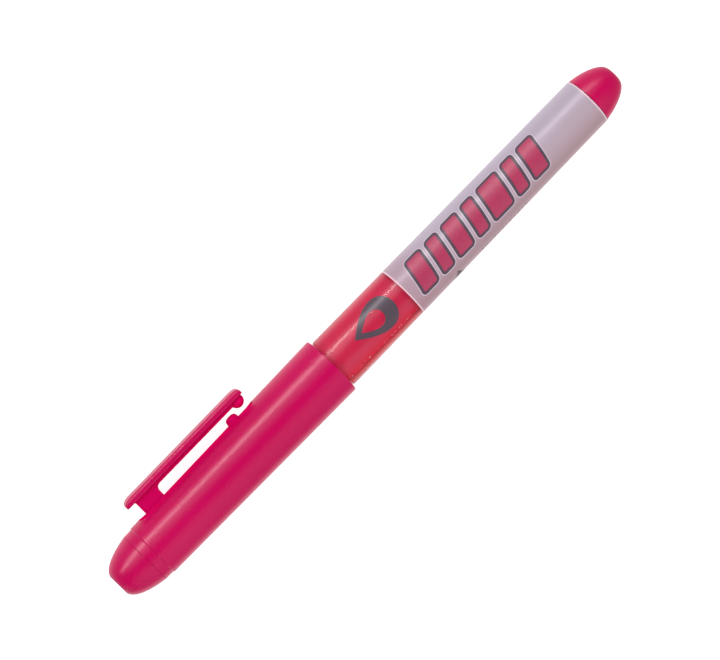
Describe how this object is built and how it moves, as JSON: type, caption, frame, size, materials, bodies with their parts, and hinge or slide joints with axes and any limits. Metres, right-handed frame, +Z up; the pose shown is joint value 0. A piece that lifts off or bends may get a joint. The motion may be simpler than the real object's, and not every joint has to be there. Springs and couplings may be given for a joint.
{
  "type": "highlighter",
  "caption": "Slim capped liquid-ink highlighter with a tapered clear barrel, printed film, ink window, domed tail plug and a sprung pocket clip on its pull-off cap.",
  "frame": {"origin": "centre of the tail plug's flat end face, on the pen's axis", "axes": "+X along the pen's axis towards the writing end and the cap's tip, -Y towards the pocket clip, +Z up, with the pen lying on its side"},
  "size_m": [0.137, 0.017, 0.013],
  "materials": {
    "cap_plastic": "smooth moulded, glossy",
    "plug_plastic": "smooth moulded, glossy",
    "clear_plastic": "clear, polished",
    "printed_film": "thin printed film, satin",
    "liquid_ink": "liquid, wet gloss",
    "section_plastic": "translucent, polished",
    "white_plastic": "fine matt",
    "liner_plastic": "soft matt, slightly translucent",
    "feed_fibre": "bundled polyester fibre, ink soaked",
    "nib_fibre": "bonded polyester fibre, ink soaked"
  },
  "bodies": {
    "pen": {"barrel": "clear_plastic", "tail_plug": "plug_plastic", "barrel_film": "printed_film", "ink": "liquid_ink", "front_section": "section_plastic", "ink_collector": "white_plastic", "feed_rod": "feed_fibre", "nib_holder": "white_plastic", "nib": "nib_fibre"},
    "cap": {"cap_shell": "cap_plastic", "cap_crown": "cap_plastic", "inner_cap": "liner_plastic"},
    "clip": {"clip_arm": "cap_plastic"}
  },
  "joints": [
    {"name": "cap_pull", "type": "slide", "parent": "pen", "child": "cap", "axis": [1, 0, 0], "range_m": [0, 0.06]},
    {"name": "clip_flex", "type": "hinge", "parent": "cap", "child": "clip", "pos_m": [0.11745, -0.0095, 0], "axis": [0, 0, 1], "range_deg": [-2.2, 8], "stiffness_Nm_per_rad": 0.5}
  ]
}
